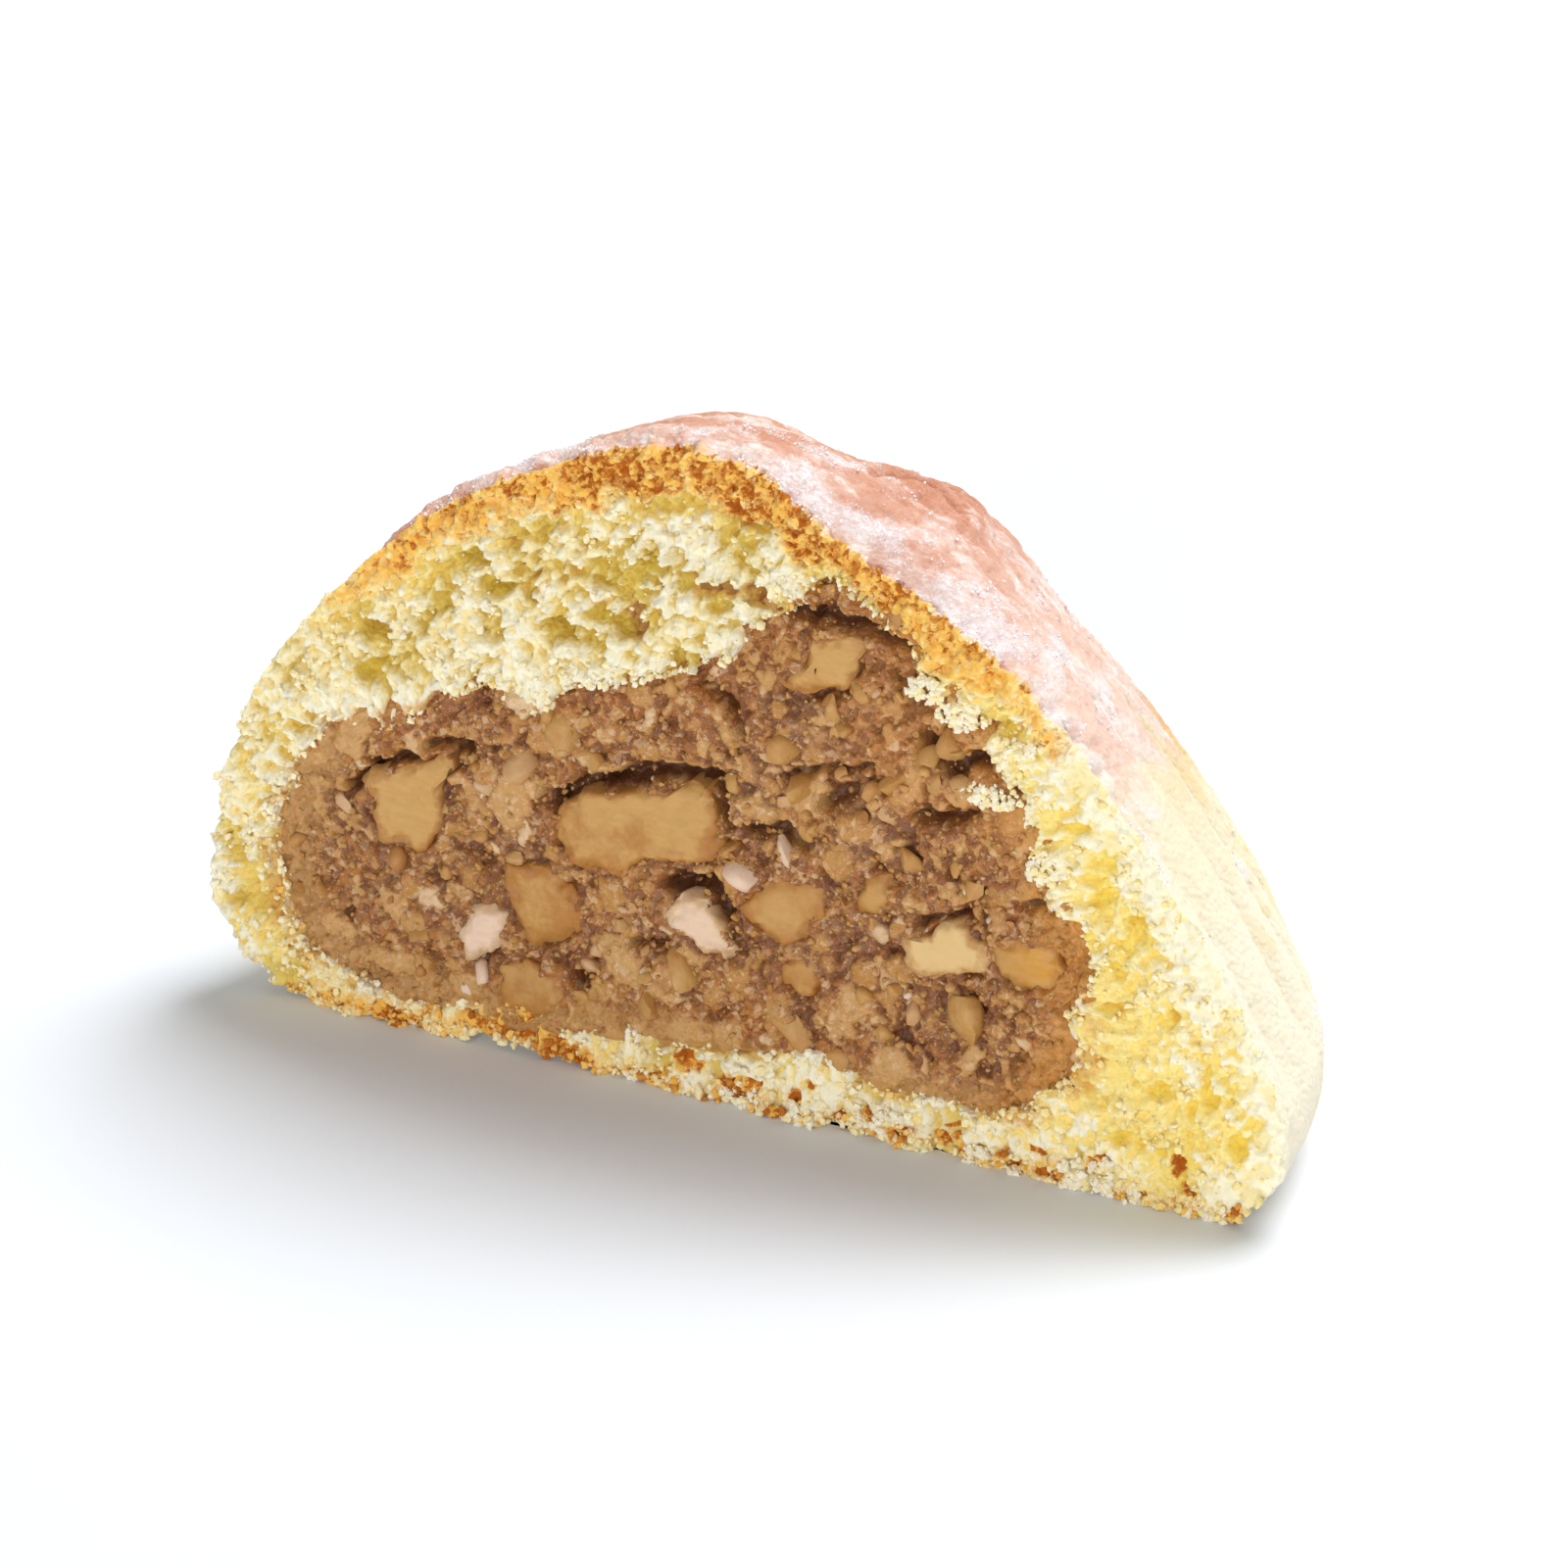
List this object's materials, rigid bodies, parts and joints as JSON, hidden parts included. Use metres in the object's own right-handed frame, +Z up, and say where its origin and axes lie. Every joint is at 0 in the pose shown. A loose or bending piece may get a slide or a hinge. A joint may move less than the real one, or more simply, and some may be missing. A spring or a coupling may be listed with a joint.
{
  "type": "halved maamoul cookie",
  "caption": "Half of a domed, fluted semolina cookie, cut upright to show its chopped-nut filling, standing on a flat base.",
  "frame": {"origin": "bottom centre of the part's bounding box, on the surface it stands on", "axes": "+Z up; the cut faces -Y and runs along X; the rounded, fluted back is towards +Y"},
  "size_m": [0.0536, 0.0252, 0.031],
  "materials": {
    "dough": "dry baked semolina dough, golden brown on top, dusted with icing sugar",
    "filling": "sticky brown paste of ground nuts and sugar",
    "walnut": "waxy chopped walnut",
    "blanched_nut": "waxy pale blanched nut",
    "icing_sugar": "matt white icing sugar"
  },
  "bodies": {
    "root": {"dough": "dough", "filling": "filling", "walnut_1": "walnut", "walnut_2": "walnut", "walnut_3": "walnut", "walnut_4": "walnut", "walnut_5": "walnut", "walnut_6": "walnut", "walnut_7": "walnut", "walnut_8": "walnut", "walnut_9": "walnut", "blanched_nut_1": "blanched_nut", "blanched_nut_2": "blanched_nut", "blanched_nut_3": "blanched_nut"}
  },
  "joints": []
}
